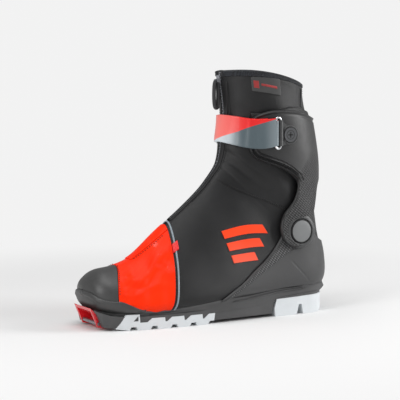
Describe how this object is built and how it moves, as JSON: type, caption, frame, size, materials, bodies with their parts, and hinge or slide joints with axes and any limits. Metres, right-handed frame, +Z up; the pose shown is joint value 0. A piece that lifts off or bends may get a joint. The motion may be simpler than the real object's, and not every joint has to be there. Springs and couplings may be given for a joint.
{
  "type": "cross country ski boot",
  "caption": "Skate ski boot with a toe bar, grooved sole, hinged ankle cuff, zipped softshell collar and a ring strap.",
  "frame": {"origin": "centre of the steel bar at the toe, where the binding takes hold", "axes": "+X towards the toe along the sole, +Y to the outer side of this left boot, +Z up from the ground"},
  "size_m": [0.301, 0.1022, 0.2662],
  "materials": {
    "sole_black": "matte",
    "tread_white": "satin",
    "insert_red": "gloss",
    "bar_steel": "brushed",
    "softshell_black": "matte",
    "film_black": "satin",
    "film_red": "gloss",
    "shell_black": "satin",
    "reflective_grey": "satin",
    "board_tan": "raw",
    "lining_grey": "matte",
    "cord_grey": "matte",
    "cap_grey": "satin",
    "strap_red": "satin",
    "strap_pale": "gloss",
    "ring_chrome": "polished",
    "screw_dark": "satin",
    "slider_metal": "satin"
  },
  "bodies": {
    "root": {"outsole": "sole_black", "toe_insert": "insert_red", "toe_bar": "bar_steel", "front_tread": "tread_white", "heel_tread": "tread_white", "toe_rand": "film_black", "toe_cap": "film_black", "lasting_board": "board_tan", "footbed": "lining_grey", "liner_foot": "lining_grey", "tongue": "lining_grey", "laces": "cord_grey", "lace_loops": "softshell_black", "vamp_panel": "film_red", "zip_flap": "film_red", "zip_lower": "softshell_black", "piping": "reflective_grey", "side_tag": "strap_red", "quarter_lateral": "softshell_black", "quarter_medial": "softshell_black", "heel_counter": "shell_black", "pivot_studs": "shell_black", "pivot_caps": "cap_grey", "side_graphic": "film_red"},
    "cuff": {"ankle_gusset": "softshell_black", "cuff_shell": "shell_black", "cuff_padding": "softshell_black", "liner_shaft": "lining_grey", "collar": "softshell_black", "collar_hem": "softshell_black", "collar_label": "film_black", "rear_tape": "reflective_grey", "zip_chain": "softshell_black", "strap_base": "strap_red", "strap_rivet": "screw_dark", "ring_tab": "shell_black", "tab_screw": "screw_dark"},
    "ring": {"strap_ring": "ring_chrome"},
    "tail": {"strap_tail": "strap_pale"},
    "slider": {"zip_slider": "slider_metal"},
    "pull": {"zip_pull": "softshell_black"}
  },
  "joints": [
    {"name": "cuff_hinge", "type": "hinge", "parent": "root", "child": "cuff", "pos_m": [-0.235, 0, 0.0865], "axis": [0, 1, 0], "range_deg": [-5, 15], "stiffness_Nm_per_rad": 4, "deforming": ["ankle_gusset"]},
    {"name": "ring_swivel", "type": "hinge", "parent": "cuff", "child": "ring", "pos_m": [-0.2037, 0.04674, 0.1945], "axis": [0, 0, 1], "range_deg": [0, 20]},
    {"name": "strap_open", "type": "hinge", "parent": "ring", "child": "tail", "pos_m": [-0.1975, 0.04674, 0.1945], "axis": [0, 0, 1], "range_deg": [0, 70]},
    {"name": "zip_slide", "type": "slide", "parent": "cuff", "child": "slider", "axis": [-0.105, 0, -0.9945], "range_m": [0, 0.007]},
    {"name": "zip_pull_swing", "type": "hinge", "parent": "slider", "child": "pull", "pos_m": [-0.15082, 0, 0.25094], "axis": [0, -1, 0], "range_deg": [0, 70]}
  ]
}
